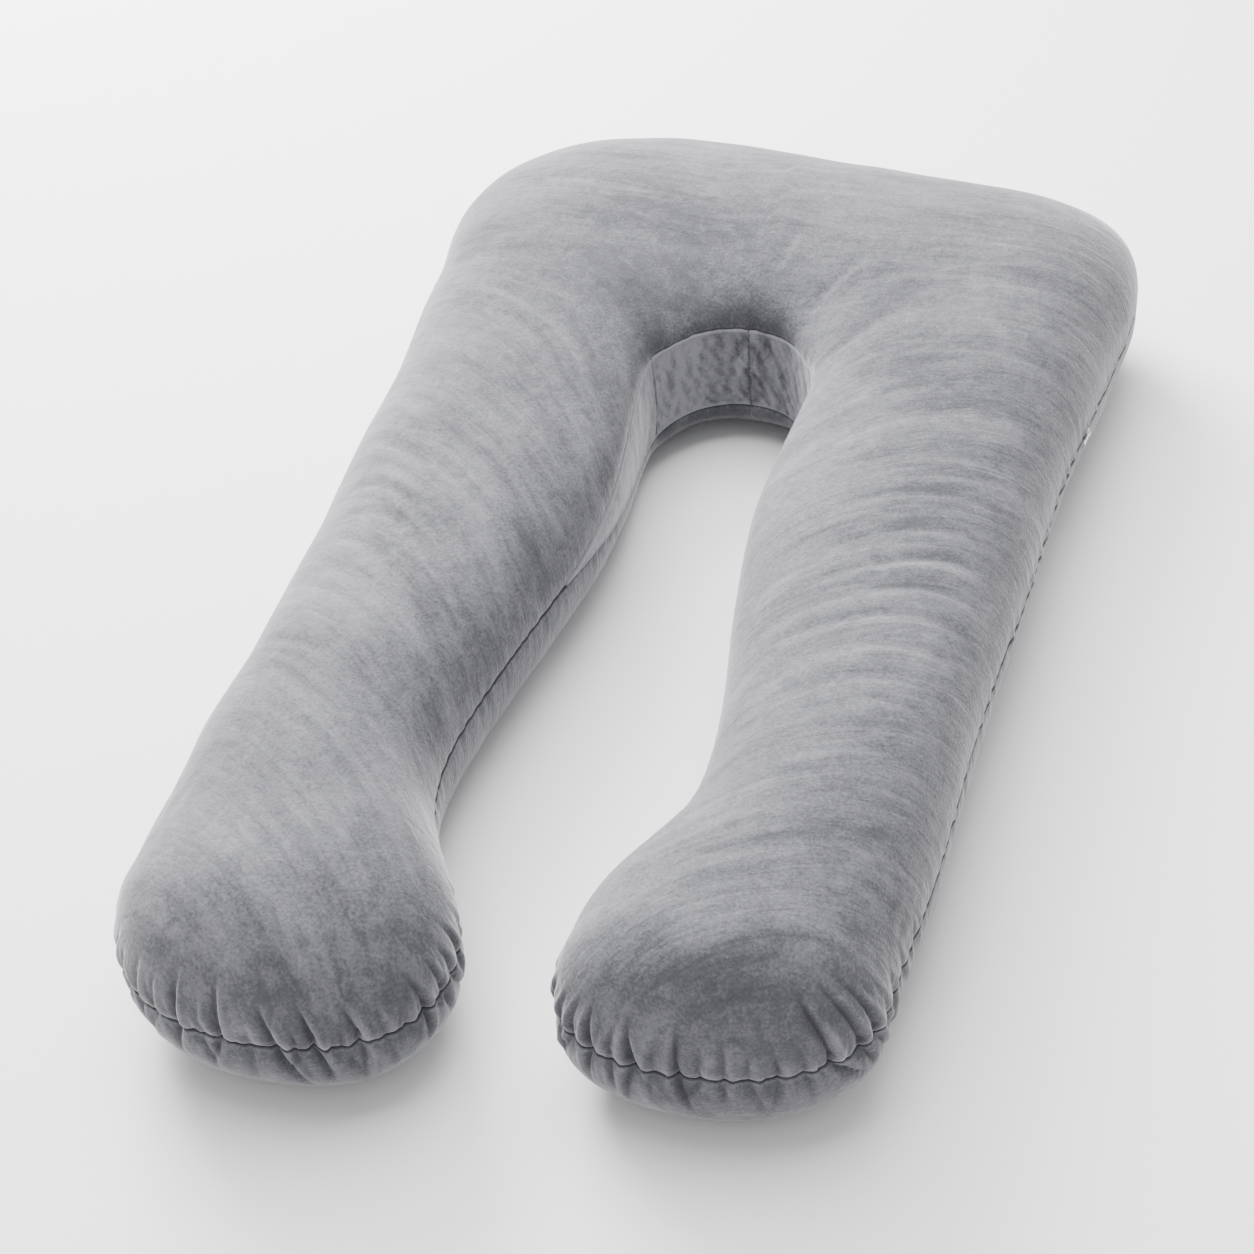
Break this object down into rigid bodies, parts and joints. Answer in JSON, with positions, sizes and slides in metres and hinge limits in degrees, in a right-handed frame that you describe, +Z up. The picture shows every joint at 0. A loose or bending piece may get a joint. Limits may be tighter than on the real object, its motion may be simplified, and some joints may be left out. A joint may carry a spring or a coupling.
{
  "type": "pregnancy pillow",
  "caption": "U-shaped full-body pregnancy pillow with a crowned top, gathered rounded leg ends and a gusset round the inside of the arch.",
  "frame": {"origin": "centre of the bounding box at its underside", "axes": "+Z up, +Y from the two gathered leg ends towards the closed base of the U, +X towards the zip side"},
  "size_m": [0.8568, 1.4678, 0.2439],
  "materials": {
    "velvet": "brushed grey velvet with a short pile",
    "gusset_velvet": "the same grey velvet, its pile crushed in patches",
    "zip_metal": "bright plated zip slider and pull"
  },
  "bodies": {
    "root": {"pillow_body": "velvet", "gusset_leg_left": "gusset_velvet", "gusset_arch_left": "gusset_velvet", "gusset_arch_right": "gusset_velvet", "gusset_leg_right": "gusset_velvet", "zip_slider": "zip_metal", "zip_pull": "zip_metal"}
  },
  "joints": []
}
